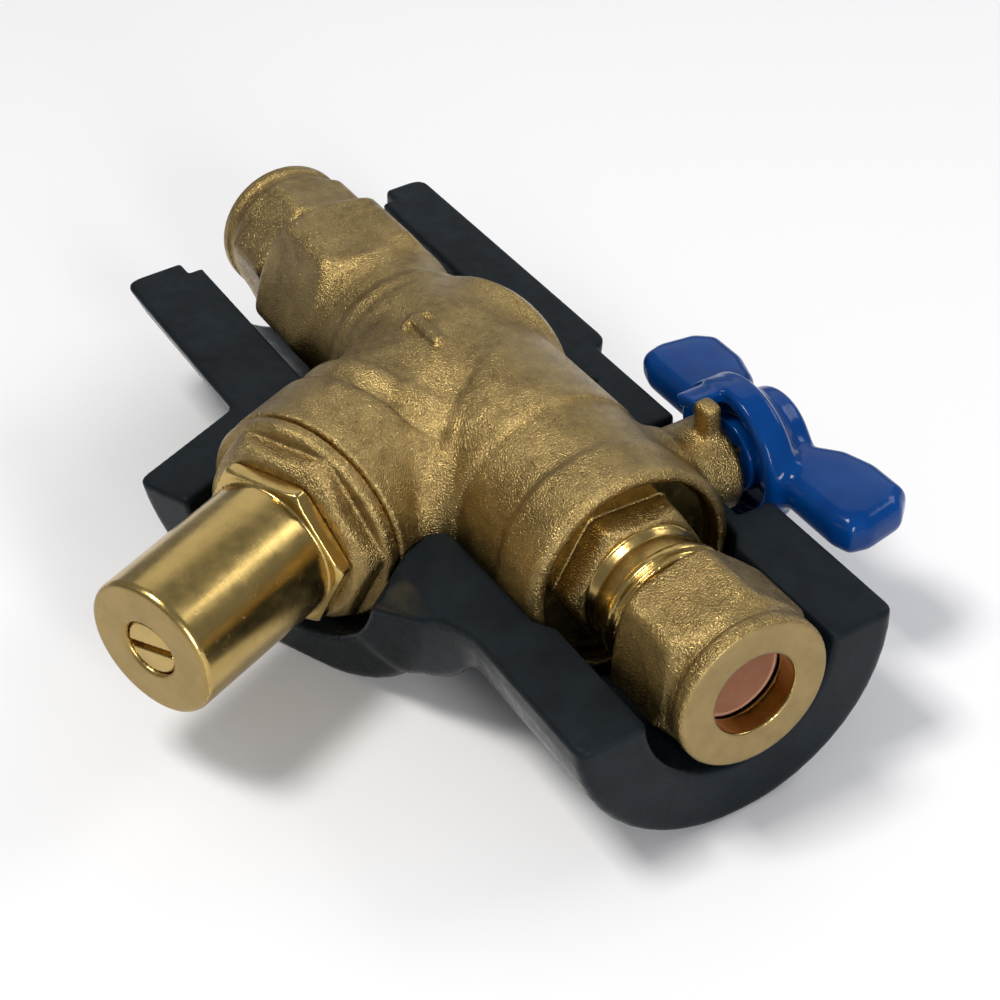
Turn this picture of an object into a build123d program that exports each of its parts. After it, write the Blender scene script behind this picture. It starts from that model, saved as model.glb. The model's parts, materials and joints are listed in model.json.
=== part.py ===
"""DN15 combination cold-water valve lying in the lower half of its insulating jacket.

Frame: origin in the middle of the inlet pipe socket, +X out of the inlet along the run,
+Z up.  The run axis is the X axis, the cartridge branch leaves it horizontally on the
-Y side and leans toward the inlet, the ball stem leaves it toward +Y.
All sizes are millimetres.  The shapes are drawn about the crossing of the run and
branch axes and moved to the pipe socket when they are written.
"""
import os
from math import cos, radians, sin, sqrt

from build123d import *

# ---- run ----
inlet_face_x = 81.6
outlet_face_x = -62.25
body_bore_r = 5.5
pipe_stop_x = 61.5
socket_mouth_x = 69.6
tube_socket_r = 6.45
male_thread_r = 10.4
male_root_r = 9.65
nut_length = 17.2
nut_across_flats = 22.74
nut_bore_r = 10.5
body_hex_across_flats = 27.6
barrel_r = 16.5
# ---- branch ----
branch_angle = 23.5
branch_r = 17.2
branch_end_s = 34.7
chamber_r = 12.0
chamber_floor_s = 4.0
dome_r = 15.0
branch_hex_turn = 28.0
cap_end_s = 70.0
cap_r = 11.1
# ---- ball valve ----
ball_x = 37.5
ball_r = 9.6
ball_bore_r = 5.0
stem_r = 4.0
boss_r = 7.5
boss_end_y = 24.5
handle_y0 = 26.1
wing_scale = 1.05
wing_half_thickness = 3.6
# ---- jacket ----
jacket_in_x = 78.5
jacket_out_x = -61.5
jacket_r = 25.4
jacket_wide_r = 28.0
jacket_floor_z = -25.0
jacket_branch_s = 43.2
jacket_branch_toe_s = 40.2
parting_z = 0.3

RUN = Plane(origin=(0, 0, 0), x_dir=(0, 0, 1), z_dir=(1, 0, 0))
BRANCH_DIR = (sin(radians(branch_angle)), -cos(radians(branch_angle)), 0)
BRANCH = Plane(origin=(0, 0, 0), x_dir=(0, 0, 1), z_dir=BRANCH_DIR)
STEM = Plane(origin=(ball_x, 0, 0), x_dir=(1, 0, 0), z_dir=(0, 1, 0))
HOME = Location((-(pipe_stop_x + socket_mouth_x) / 2, 0, 0))


def lathe(profile, plane):
    """Turn (distance along axis, radius) points about the plane's normal."""
    points = [(radius, 0, along) for along, radius in profile]
    face = make_face(Polyline(*points, close=True))
    return plane * revolve(face, Axis.Z)


def rod(start, end, radius, plane, hole=0.0):
    profile = [(start, hole), (end, hole), (end, radius), (start, radius)]
    return lathe(profile, plane)


def hexagon(start, end, across_flats, plane, turn=0.0):
    outline = RegularPolygon(radius=across_flats / sqrt(3), side_count=6, rotation=turn)
    prism = extrude(outline, end - start)
    return plane * Location((0, 0, start)) * prism


def torus_on(plane, along, ring_r, cord_r):
    return plane * Location((0, 0, along)) * Torus(ring_r, cord_r)


def coil(plane, start, end, mean_r, wire_r, turns):
    """Open-ended helical spring between two end planes."""
    height = end - start - 2 * wire_r
    path = Helix(pitch=height / turns, height=height, radius=mean_r)
    section = Plane(origin=path @ 0, z_dir=path % 0) * Circle(wire_r)
    wire = sweep(section, path)
    return plane * Location((0, 0, start + wire_r)) * wire


def ring_cuts(xs, root, crest, plane, width):
    """Grooves that leave thread-like rings on a turned end."""
    cuts = None
    for x in xs:
        groove = rod(x, x + width, crest + 1, plane, root)
        cuts = groove if cuts is None else cuts + groove
    return cuts


# ---------------------------------------------------------------- compression ends
def nut_inlet():
    start = inlet_face_x - nut_length
    prism = hexagon(start, 76.7, nut_across_flats, RUN, 46.7)
    envelope = lathe(
        [(start, 0), (start, 11.6), (start + 1.1, 13.2), (75.6, 13.2), (76.7, 11.9), (76.7, 0)],
        RUN,
    )
    collar = lathe(
        [(76.6, 0), (76.6, 11.9), (77.4, 11.5), (79.2, 11.5), (79.4, 11.8), (81.2, 11.8),
         (81.6, 11.4), (81.6, 0)],
        RUN,
    )
    bore = lathe(
        [(start, 0), (start, nut_bore_r + 0.3), (start + 0.6, nut_bore_r),
         (74.6, nut_bore_r), (75.3, 8.9), (78.0, tube_socket_r), (81.6, tube_socket_r),
         (81.6, 0)],
        RUN,
    )
    return (prism & envelope) + collar - bore


def olive_inlet():
    return lathe(
        [(70.8, tube_socket_r), (70.8, 6.95), (72.1, 7.75), (75.3, 7.75), (76.8, 6.95),
         (76.8, tube_socket_r)],
        RUN,
    )


def to_outlet(shape):
    """Swap an inlet-end piece to the outlet end (turned round, not mirrored)."""
    shift = inlet_face_x + outlet_face_x
    return Location((shift, 0, 0)) * Rotation(0, 0, 180) * shape


# ---------------------------------------------------------------- inlet connector
def inlet_connector():
    flats = hexagon(49.6, 54.8, 20.4, RUN, 26.0)
    rounding = lathe([(49.6, 0), (49.6, 11.7), (53.6, 11.7), (54.8, 10.3), (54.8, 0)], RUN)
    turned = lathe(
        [(43.6, 0), (43.6, 12.3), (48.5, 12.3), (48.5, 14.4), (49.7, 14.4), (49.7, 9.4),
         (55.6, 9.4), (56.4, 9.0), (59.6, 9.0), (60.2, male_thread_r), (71.6, male_thread_r),
         (72.2, 9.8), (72.2, 0)],
        RUN,
    )
    bore = lathe(
        [(43.5, 0), (43.5, 10.0), (46.2, 10.0), (46.2, body_bore_r),
         (pipe_stop_x, body_bore_r), (pipe_stop_x, tube_socket_r),
         (socket_mouth_x, tube_socket_r), (72.2, 8.4), (72.3, 8.4), (72.3, 0)],
        RUN,
    )
    rings = ring_cuts([61.5, 63.3, 65.1, 66.9, 68.7], male_root_r, male_thread_r, RUN, 0.8)
    seal_groove = rod(46.9, 48.1, 13.0, RUN, 11.2)
    return (flats & rounding) + turned - bore - rings - seal_groove


def connector_o_ring():
    return torus_on(RUN, 47.5, 11.77, 0.56)


# ---------------------------------------------------------------- valve body
def body_run_solid():
    prism = hexagon(-43.9, -24.6, body_hex_across_flats, RUN, 30.0)
    envelope = lathe(
        [(-43.9, 0), (-43.9, 12.9), (-40.6, 16.0), (-27.4, 16.0), (-24.6, 13.7), (-24.6, 0)],
        RUN,
    )
    outlet_male = lathe(
        [(-52.85, 0), (-52.85, 9.8), (-52.25, male_thread_r), (-44.8, male_thread_r),
         (-44.2, male_root_r), (-43.8, male_root_r), (-43.8, 0)],
        RUN,
    )
    neck = lathe(
        [(-25.1, 0), (-25.1, 13.7), (-17.2, 13.4), (-15.0, 14.3), (-11.2, 14.7),
         (-5.0, 15.6), (4.0, 16.1), (14.0, barrel_r), (30.2, barrel_r), (30.8, 16.0),
         (42.2, 16.0), (43.4, barrel_r), (51.6, barrel_r), (52.0, 16.1), (52.0, 0)],
        RUN,
    )
    return (prism & envelope) + outlet_male + neck


def body_branch_solid():
    return lathe(
        [(-14.2, 0), (-14.2, 11.0), (-13.2, 13.4), (-11.0, dome_r), (16.0, dome_r),
         (18.5, 16.2), (21.0, 16.2), (23.6, 15.9), (24.4, branch_r), (branch_end_s, branch_r),
         (branch_end_s, 0)],
        BRANCH,
    )


def crotch_web():
    """Thin cast web in the angle between the inlet barrel and the branch."""
    outline = make_face(Polyline((12, -6), (34, -10), (19, -30), close=True))
    plate = extrude(outline, 1.2, both=True)
    keep = Location((19.5, -17.5, 0)) * Box(9.0, 9.0, 3.0)
    return plate & keep


def flow_arrow():
    head = make_face(Polyline((-6.2, 0), (-1.8, 3.0), (-1.8, -3.0), close=True))
    shaft = Location((3.3, 0)) * Rectangle(10.4, 2.2)
    arrow = extrude(Location((0, 0, 14.2)) * (head + shaft), 2.4)
    return Rotation(17, 0, 0) * arrow


def stem_boss():
    barrel = rod(0, boss_end_y - 0.8, boss_r, STEM)
    edge = lathe(
        [(boss_end_y - 0.81, 0), (boss_end_y - 0.81, boss_r), (boss_end_y, boss_r - 0.8),
         (boss_end_y, 0)],
        STEM,
    )
    lug = Location((ball_x + 1.6, 21.8, 8.6)) * Box(3.6, 3.0, 8.0)
    return barrel + edge + lug


def body_cavities():
    ball_chamber = lathe(
        [(17.6, 0), (17.6, 8.8), (26.5, 8.8), (26.5, 10.0), (32.2, 10.0), (32.2, 10.8),
         (43.5, 10.8), (43.5, 12.35), (48.5, 12.35), (48.5, 14.7), (52.1, 14.7), (52.1, 0)],
        RUN,
    )
    inlet_way = rod(9.0, 17.7, 6.2, RUN)
    outlet_way = lathe(
        [(-53.0, 0), (-53.0, 8.4), (-52.85, 8.4), (-50.25, tube_socket_r),
         (-42.15, tube_socket_r), (-42.15, body_bore_r), (-11.0, body_bore_r), (-11.0, 0)],
        RUN,
    )
    rings = ring_cuts([-46.6, -48.4, -50.2, -52.0], male_root_r, male_thread_r, RUN, 0.8)
    dome_space = lathe([(-11.0, 0), (-11.0, 9.0), (-9.0, 11.5), (0.0, 11.5), (0.0, 0)], BRANCH)
    seat_pocket = rod(-0.1, 4.1, 7.0, BRANCH)
    branch_space = lathe(
        [(chamber_floor_s, 0), (chamber_floor_s, chamber_r), (24.0, chamber_r), (24.0, 13.6),
         (34.8, 13.6), (34.8, 0)],
        BRANCH,
    )
    stem_way = lathe(
        [(5.0, 0), (5.0, 5.5), (12.5, 5.5), (12.5, stem_r + 0.05), (24.6, stem_r + 0.05),
         (24.6, 0)],
        STEM,
    )
    return [ball_chamber, inlet_way, outlet_way, rings, dome_space, seat_pocket, branch_space,
            stem_way]


def valve_body():
    shape = body_run_solid() + body_branch_solid() + stem_boss() + crotch_web() + flow_arrow()
    for cavity in body_cavities():
        shape = shape - cavity
    return shape


# ---------------------------------------------------------------- ball valve
def ball():
    sphere = Location((ball_x, 0, 0)) * Sphere(ball_r)
    bore = rod(ball_x - 12, ball_x + 12, ball_bore_r, RUN)
    slot = Location((ball_x, 8.6, 0)) * Box(12.0, 3.0, 3.04)
    return sphere - bore - slot


def seat_outlet_side():
    ring = rod(26.5, 31.9, 9.98, RUN, body_bore_r)
    return ring - Location((ball_x, 0, 0), (0, 90, 0)) * Sphere(ball_r + 0.02)


def seat_inlet_side():
    ring = rod(43.0, 46.2, 9.98, RUN, body_bore_r)
    return ring - Location((ball_x, 0, 0), (0, 90, 0)) * Sphere(ball_r + 0.02)


def stem():
    turned = lathe(
        [(9.8, 0), (9.8, 5.4), (11.6, 5.4), (11.6, stem_r), (25.0, stem_r), (25.0, 0)], STEM)
    tang = Location((ball_x, 8.5, 0)) * Box(8.4, 2.8, 3.0)
    flats = Location((ball_x, 29.0, 0)) * Box(5.6, 8.2, 5.6)
    flats = flats & rod(24.9, 33.2, 3.7, STEM)
    screw = rod(33.0, 38.2, 2.4, STEM)
    grooves = rod(14.2, 15.6, 6.0, STEM, 3.15) + rod(17.8, 19.2, 6.0, STEM, 3.15)
    return turned + tang + flats + screw - grooves


def stem_washer():
    return rod(11.62, 12.5, 5.4, STEM, 4.06)


def stem_o_ring(along):
    return torus_on(STEM, along, 3.59, 0.44)


def handle_wing(side):
    """One wing of the butterfly, a thick blade whose plane holds the stem."""
    pts = [(7.0, 28.6), (13.0, 27.6), (22.5, 27.6), (25.2, 28.8), (26.0, 32.0), (25.0, 38.2),
           (22.4, 41.2), (16.0, 41.2), (11.0, 39.6), (7.0, 36.4)]
    outline = [(side * wing_scale * x, y) for x, y in pts]
    face = make_face(Polyline(*outline, close=True))
    blade = extrude(face, wing_half_thickness, both=True)
    return Location((ball_x, 0, 0)) * fillet(blade.edges(), 0.9)


def stop_tab(middle, spread):
    """Sector of the skirt that meets the body lug; angles run from +Z toward +X."""
    band = rod(21.0, 27.0, 11.6, STEM, 9.7)
    corner = 30 * sin(radians(spread / 2))
    reach = 30 * cos(radians(spread / 2))
    wedge = extrude(make_face(Polyline((0, 0), (corner, -reach), (-corner, -reach), close=True)), 30)
    return band & (STEM * Rotation(0, 0, middle) * wedge)


def handle():
    shell = lathe(
        [(handle_y0, 9.6), (handle_y0, 11.5), (handle_y0 + 0.5, 11.9), (30.2, 11.9),
         (31.2, 11.0), (32.4, 8.4), (36.0, 7.6), (37.0, 6.9), (37.0, 0), (28.4, 0),
         (28.4, 9.2)],
        STEM,
    )
    sleeve = rod(26.4, 28.5, 6.0, STEM)
    tabs = stop_tab(-16.5, 27) + stop_tab(123.5, 23)
    square = Location((ball_x, 29.5, 0)) * Box(5.66, 7.4, 5.66)
    round_hole = rod(32.0, 33.4, 2.6, STEM)
    pocket = rod(33.2, 37.2, 5.4, STEM)
    body = shell + sleeve + tabs + handle_wing(1) + handle_wing(-1)
    return body - square - round_hole - pocket


def handle_nut():
    flats = hexagon(33.2, 36.8, 8.0, STEM, 0.0)
    chamfer = lathe([(33.2, 0), (33.2, 4.7), (36.2, 4.7), (36.8, 4.0), (36.8, 0)], STEM)
    return (flats & chamfer) - rod(33.0, 37.0, 2.42, STEM)


# ---------------------------------------------------------------- check valve
def check_housing():
    shell = lathe(
        [(17.6, 7.2), (17.6, 8.78), (26.5, 8.78), (26.5, 4.6), (24.8, 4.6), (24.8, 7.2)], RUN)
    guide = rod(17.6, 19.0, 2.4, RUN, 1.3)
    spider = None
    for turn in (0, 120, 240):
        arm = RUN * Rotation(0, 0, turn) * Location((4.9, 0, 18.3)) * Box(5.4, 1.4, 1.4)
        spider = arm if spider is None else spider + arm
    return shell + guide + spider


def check_poppet():
    return lathe(
        [(17.8, 0), (17.8, 1.25), (22.9, 1.25), (23.2, 5.3), (24.25, 5.3), (24.25, 3.8),
         (25.6, 3.4), (26.2, 1.6), (26.3, 0)],
        RUN,
    )


def check_seal():
    return rod(24.27, 24.79, 5.3, RUN, 3.82)


def check_spring():
    return coil(RUN, 19.02, 22.95, 2.3, 0.25, 3.5)


# ---------------------------------------------------------------- cartridge
def strainer_screen():
    tube = rod(chamber_floor_s, 23.9, 11.3, BRANCH, 10.8)
    foot = rod(chamber_floor_s, chamber_floor_s + 0.8, 11.3, BRANCH, 9.0)
    shape = tube + foot
    for row in (7.0, 12.2, 17.4):
        for step in range(12):
            slot = Location((11.0, 0, row + 2.0)) * Box(2.0, 3.4, 4.0)
            shape = shape - BRANCH * Rotation(0, 0, 30 * step) * slot
    return shape


def valve_seat_ring():
    return lathe(
        [(0.0, 5.0), (0.0, 5.7), (0.8, 6.98), (4.0, 6.98), (4.0, 8.4), (5.2, 8.4),
         (5.2, 5.6), (4.2, 5.0)],
        BRANCH,
    )


def bonnet():
    prism = hexagon(37.6, 41.5, 28.6, BRANCH, -branch_hex_turn)
    envelope = lathe([(37.6, 0), (37.6, 16.5), (38.6, 16.2), (41.5, 13.4), (41.5, 0)], BRANCH)
    turned = lathe(
        [(20.0, 0), (20.0, 8.6), (24.0, 8.6), (24.0, 11.9), (24.4, 13.55), (branch_end_s, 13.55),
         (branch_end_s, 16.6), (35.2, 17.0), (36.9, 17.0), (37.7, 16.2), (37.7, 0)],
        BRANCH,
    )
    bore = lathe(
        [(19.9, 0), (19.9, 6.05), (33.0, 6.05), (33.0, 11.45), (41.6, 11.45), (41.6, 0)],
        BRANCH,
    )
    seal_groove = rod(26.0, 27.6, 14.0, BRANCH, 12.1)
    return (prism & envelope) + turned - bore - seal_groove


def bonnet_o_ring():
    return torus_on(BRANCH, 26.8, 12.85, 0.74)


def spring_housing():
    prism = hexagon(41.5, 44.2, 23.6, BRANCH, -branch_hex_turn)
    envelope = lathe(
        [(41.5, 0), (41.5, 12.6), (42.1, 13.6), (43.5, 13.6), (44.2, 12.4), (44.2, 0)], BRANCH)
    turned = lathe(
        [(34.4, 0), (34.4, 11.43), (41.6, 11.43), (41.6, cap_r + 0.1), (44.8, cap_r),
         (69.5, 11.0), (cap_end_s, 10.5), (cap_end_s, 0)],
        BRANCH,
    )
    bore = lathe(
        [(34.3, 0), (34.3, 9.3), (66.2, 9.3), (66.2, 4.5), (cap_end_s + 0.1, 4.5),
         (cap_end_s + 0.1, 0)],
        BRANCH,
    )
    return (prism & envelope) + turned - bore


def piston():
    turned = lathe(
        [(-2.6, 0), (-2.6, 2.0), (-0.8, 2.0), (3.0, 2.4), (15.5, 2.4), (18.0, 6.0),
         (33.02, 6.0), (33.02, 8.9), (35.2, 8.9), (35.2, 4.6), (38.5, 4.4), (38.5, 0)],
        BRANCH,
    )
    groove = rod(25.1, 26.5, 7.0, BRANCH, 4.85)
    thread_hole = rod(-3.0, 2.0, 1.2, BRANCH)
    return turned - groove - thread_hole


def piston_o_ring():
    return torus_on(BRANCH, 25.8, 5.45, 0.59)


def seat_disc():
    return rod(-4.2, -2.6, 6.4, BRANCH, 1.25)


def disc_screw():
    head = rod(-6.4, -4.2, 4.2, BRANCH)
    shank = rod(-4.3, 1.4, 1.18, BRANCH)
    slot = BRANCH * Location((0, 0, -6.1)) * Box(9.0, 0.9, 0.9)
    return head + shank - slot


def range_spring():
    return coil(BRANCH, 35.22, 57.48, 6.9, 1.0, 6.5)


def spring_plate():
    return lathe(
        [(57.5, 3.05), (57.5, 9.2), (59.2, 9.2), (59.9, 7.6), (60.5, 6.8), (60.5, 3.05)], BRANCH)


def adjusting_screw():
    turned = lathe(
        [(56.4, 0), (56.4, 2.6), (56.8, 3.0), (60.52, 3.0), (60.52, 6.4), (62.3, 6.4),
         (62.3, 4.42), (69.3, 4.42), (69.6, 4.1), (69.6, 0)],
        BRANCH,
    )
    slot = BRANCH * Rotation(0, 0, 100) * Location((0, 0, 69.4)) * Box(9.4, 1.2, 2.2)
    return turned - slot


# ---------------------------------------------------------------- jacket
def half_oval(start, end, half_width, depth, plane, shift=0.0):
    """Oval bar along a plane's normal; the shift moves it across, in the plane's -Y sense."""
    outline = Location((0, -shift)) * Ellipse(depth, half_width)
    return plane * Location((0, 0, start)) * extrude(outline, end - start)


def outlet_arm():
    """Outlet arm of the jacket: wider than the inlet arm, with leaning sides."""
    points = [(28.1, 0.8), (26.4, -8.5), (21.5, -17.0), (13.0, -23.4), (0.0, -25.9),
              (-12.0, -23.9), (-22.6, -15.6), (-28.6, -6.4), (-31.3, 0.8)]
    curve = Spline(*[(z, -y) for y, z in points])
    face = make_face(curve + Line(curve @ 1, curve @ 0))
    return RUN * Location((0, 0, jacket_out_x)) * extrude(face, 2.0 - jacket_out_x)


def jacket_outer():
    near = rod(0.0, jacket_in_x, jacket_r, RUN)
    arm = half_oval(-6.0, jacket_branch_s + 2, jacket_wide_r, jacket_r + 0.8, BRANCH)
    crotch = half_oval(8.0, jacket_branch_s + 2, 14.0, 16.0, BRANCH, 22.0)
    return near + outlet_arm() + (arm + crotch & branch_end_slope())


def branch_end_slope():
    """Keeps the branch arm behind its leaning end face."""
    outline = make_face(
        Polyline((5, -20), (parting_z, jacket_branch_s), (-30, jacket_branch_toe_s - 0.5),
                 (-30, -20), close=True)
    )
    section = Plane(origin=(0, 0, 0), x_dir=(0, 0, 1),
                    z_dir=(cos(radians(branch_angle)), sin(radians(branch_angle)), 0))
    return section * extrude(outline, 60, both=True)


def jacket_hollow():
    run = lathe(
        [(-70.0, 0), (-70.0, 20.4), (-57.6, 20.4), (-57.6, 17.9), (-14.0, 17.9), (-10.0, 17.6),
         (10.0, 17.4), (53.0, 16.9), (56.0, 15.0), (85.0, 15.0), (85.0, 0)],
        RUN,
    )
    branch = rod(0.0, 60.0, 17.7, BRANCH)
    dome = rod(-14.8, 0.0, 17.7, BRANCH)
    stem_notch = rod(0, 19.6, boss_r + 1.0, STEM) + rod(19.5, 40.0, 12.6, STEM)
    return run + branch + dome + stem_notch


def crotch_bevel():
    """Slope that falls from the run arm's outer edge toward the branch mouth."""
    block = Location((0, -20, 20)) * Box(60, 40, 40)
    return Location((56.0, -25.6, parting_z)) * Rotation(35, 0, 0) * block


def insulation_jacket_lower():
    shape = jacket_outer()
    below = Location((0, 0, parting_z - 40)) * Box(400, 400, 80)
    shape = shape & below
    floor = Location((0, 0, jacket_floor_z - 20)) * Box(400, 400, 40)
    return shape - floor - jacket_hollow() - crotch_bevel()


PIECES = {
    "valve_body": valve_body,
    "inlet_connector": inlet_connector,
    "connector_o_ring": connector_o_ring,
    "inlet_nut": nut_inlet,
    "inlet_olive": olive_inlet,
    "outlet_nut": lambda: to_outlet(nut_inlet()),
    "outlet_olive": lambda: to_outlet(olive_inlet()),
    "ball": ball,
    "ball_seat_inlet": seat_inlet_side,
    "ball_seat_outlet": seat_outlet_side,
    "stem": stem,
    "stem_thrust_washer": stem_washer,
    "stem_o_ring_lower": lambda: stem_o_ring(14.9),
    "stem_o_ring_upper": lambda: stem_o_ring(18.5),
    "handle": handle,
    "handle_nut": handle_nut,
    "check_housing": check_housing,
    "check_poppet": check_poppet,
    "check_seal": check_seal,
    "check_spring": check_spring,
    "strainer_screen": strainer_screen,
    "valve_seat_ring": valve_seat_ring,
    "bonnet": bonnet,
    "bonnet_o_ring": bonnet_o_ring,
    "spring_housing": spring_housing,
    "piston": piston,
    "piston_o_ring": piston_o_ring,
    "seat_disc": seat_disc,
    "disc_screw": disc_screw,
    "range_spring": range_spring,
    "spring_plate": spring_plate,
    "adjusting_screw": adjusting_screw,
    "insulation_jacket_lower": insulation_jacket_lower,
}

os.makedirs("parts", exist_ok=True)
for name, make in PIECES.items():
    shape = HOME * make()
    solids = shape.solids()
    print(name, len(solids), "solid(s)", round(shape.volume, 2), "mm3", shape.is_valid)
    if len(solids) == 1:
        shape = solids[0]
    export_step(shape, f"parts/{name}.step")
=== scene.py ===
import json
import math

import bpy
import numpy as np
from mathutils import Matrix, Vector


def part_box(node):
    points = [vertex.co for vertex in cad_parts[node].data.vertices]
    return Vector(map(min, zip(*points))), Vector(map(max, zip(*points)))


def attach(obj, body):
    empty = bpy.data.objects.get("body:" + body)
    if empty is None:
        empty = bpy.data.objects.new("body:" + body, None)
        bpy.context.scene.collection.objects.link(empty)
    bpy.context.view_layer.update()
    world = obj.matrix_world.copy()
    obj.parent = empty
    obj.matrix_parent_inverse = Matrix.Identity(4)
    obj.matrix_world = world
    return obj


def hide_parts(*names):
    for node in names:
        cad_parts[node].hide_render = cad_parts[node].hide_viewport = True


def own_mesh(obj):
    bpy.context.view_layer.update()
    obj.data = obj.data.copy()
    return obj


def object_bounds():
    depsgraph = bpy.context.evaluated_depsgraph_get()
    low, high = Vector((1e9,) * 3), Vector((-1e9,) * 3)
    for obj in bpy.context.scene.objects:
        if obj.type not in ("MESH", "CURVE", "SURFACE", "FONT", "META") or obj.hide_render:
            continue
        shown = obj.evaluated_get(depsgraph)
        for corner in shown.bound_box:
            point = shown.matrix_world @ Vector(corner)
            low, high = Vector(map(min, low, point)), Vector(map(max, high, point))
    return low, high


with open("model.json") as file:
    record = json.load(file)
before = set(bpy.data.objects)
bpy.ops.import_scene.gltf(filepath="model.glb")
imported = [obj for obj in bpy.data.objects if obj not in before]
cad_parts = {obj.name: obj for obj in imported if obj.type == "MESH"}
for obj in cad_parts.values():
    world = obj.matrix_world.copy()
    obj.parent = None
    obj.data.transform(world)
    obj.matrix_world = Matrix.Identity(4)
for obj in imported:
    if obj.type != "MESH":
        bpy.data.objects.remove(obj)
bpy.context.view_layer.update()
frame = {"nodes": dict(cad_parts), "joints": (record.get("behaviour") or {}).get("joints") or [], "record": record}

# Shapes are worked out in millimetres from the point where the branch axis meets the run axis.
MM = 0.001
JOINTS = {joint["name"]: joint for joint in frame["joints"]}
# Sine and cosine of the branch axis's angle from -Y, positive toward +X.
LEAN_SIN, LEAN_COS = JOINTS["piston_lift"]["axis"][0], -JOINTS["piston_lift"]["axis"][1]
SCREW_PLACE = JOINTS["adjust_turn"]["pos_m"]
CROSSING_X = SCREW_PLACE[0] + SCREW_PLACE[1] * LEAN_SIN / LEAN_COS
BALL_X = (JOINTS["handle_turn"]["pos_m"][0] - CROSSING_X) / MM


def run_span(node):
    """Lowest and highest place of a node along the run, in millimetres from the crossing."""
    low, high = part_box(node)
    return (low.x - CROSSING_X) / MM, (high.x - CROSSING_X) / MM


INLET_FACE = run_span("inlet_nut")[1]
OUTLET_FACE = run_span("outlet_nut")[0]
END_SWAP = INLET_FACE + OUTLET_FACE      # x becomes END_SWAP - x when the ends change places
SOCKET_R = frame["record"]["mounts"][0]["dims"]["r_mm"]
FLOOR_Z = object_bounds()[0][2]


# ================================================================ distance fields
def blend_min(a, b, k):
    """Joins two shapes with a fillet of about k."""
    h = np.maximum(k - np.abs(a - b), 0.0) / k
    return np.minimum(a, b) - h * h * k * 0.25


def blend_max(a, b, k):
    """Keeps what two shapes share, with the edge rounded by about k."""
    return -blend_min(-a, -b, k)


def softened(table, width):
    """Rounds the corners of a distance table by a smoothing width given in cells."""
    if width < 1:
        return table
    reach = int(width)
    kernel = np.hanning(2 * reach + 3)[1:-1]
    kernel /= kernel.sum()
    for axis in (0, 1):
        pad = [(0, 0), (0, 0)]
        pad[axis] = (reach, reach)
        padded = np.pad(table, pad, mode="edge")
        total = np.zeros_like(table)
        for i, weight in enumerate(kernel):
            cut = [slice(None), slice(None)]
            cut[axis] = slice(i, i + table.shape[axis])
            total += weight * padded[tuple(cut)]
        table = total
    return table


def outline(points, soft=0.0, cell=0.1, margin=5.0):
    """Signed distance to a closed outline, tabulated; soft rounds its corners."""
    pts = np.array(points, float)
    low = pts.min(0) - margin
    high = pts.max(0) + margin
    u, v = np.meshgrid(np.arange(low[0], high[0], cell), np.arange(low[1], high[1], cell),
                       indexing="ij")
    nearest = np.full(u.shape, 1e9)
    inside = np.zeros(u.shape, bool)
    for (ax, ay), (bx, by) in zip(pts, np.roll(pts, -1, 0)):
        ex, ey = bx - ax, by - ay
        along = np.clip(((u - ax) * ex + (v - ay) * ey) / (ex * ex + ey * ey), 0, 1)
        nearest = np.minimum(nearest, np.hypot(u - ax - along * ex, v - ay - along * ey))
        if ey:
            inside ^= ((ay > v) != (by > v)) & (u < ax + (v - ay) * ex / ey)
    table = softened(np.where(inside, -nearest, nearest), soft / cell).astype(np.float32)
    rows, columns = table.shape

    def at(a, b):
        i = np.clip((a - low[0]) / cell, 0, rows - 1.001)
        j = np.clip((b - low[1]) / cell, 0, columns - 1.001)
        i0, j0 = i.astype(np.int32), j.astype(np.int32)
        fi, fj = i - i0, j - j0
        near = table[i0, j0] * (1 - fi) + table[i0 + 1, j0] * fi
        far = table[i0, j0 + 1] * (1 - fi) + table[i0 + 1, j0 + 1] * fi
        return near * (1 - fj) + far * fj

    return at


def lathe(points, soft=0.25):
    """Turned shape from (along, radius) points; radius 0 is carried past the axis."""
    return outline([(along, radius if radius > 0 else -6.0) for along, radius in points], soft)


def hexagon(u, v, across_flats, vertex_deg, soft=0.6):
    """Distance to a hexagonal prism with a vertex at vertex_deg from u toward v."""
    shape = None
    for k in range(3):
        turn = math.radians(vertex_deg + 30 + 60 * k)
        side = np.abs(u * math.cos(turn) + v * math.sin(turn)) - across_flats / 2
        shape = side if shape is None else blend_max(shape, side, soft)
    return shape


def block(a, b, c, size, soft):
    """Rounded block about the origin of three coordinates."""
    da, db, dc = np.abs(a) - size[0], np.abs(b) - size[1], np.abs(c) - size[2]
    return blend_max(blend_max(da, db, soft), dc, soft)


def on_branch(x, y):
    """Along the branch axis, and across it in the horizontal plane."""
    return x * LEAN_SIN - y * LEAN_COS, x * LEAN_COS + y * LEAN_SIN


# ================================================================ mesher
CORNERS = np.array([(i, j, k) for i in (0, 1) for j in (0, 1) for k in (0, 1)])
EDGES = [(a, b) for a in range(8) for b in range(a + 1, 8)
         if np.abs(CORNERS[a] - CORNERS[b]).sum() == 1]


def to_surface(field, points, step):
    """Moves points onto the field's zero surface."""
    tiny = 0.04
    for _ in range(4):
        x, y, z = points.T
        value = field(x, y, z)
        slope = np.stack([field(x + tiny, y, z) - field(x - tiny, y, z),
                          field(x, y + tiny, z) - field(x, y - tiny, z),
                          field(x, y, z + tiny) - field(x, y, z - tiny)], 1) / (2 * tiny)
        size = np.maximum((slope ** 2).sum(1), 0.05)
        move = -(value / size)[:, None] * slope
        length = np.maximum(np.linalg.norm(move, axis=1), 1e-9)
        points = points + move * np.minimum(1, 0.4 * step / length)[:, None]
    return points


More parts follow.
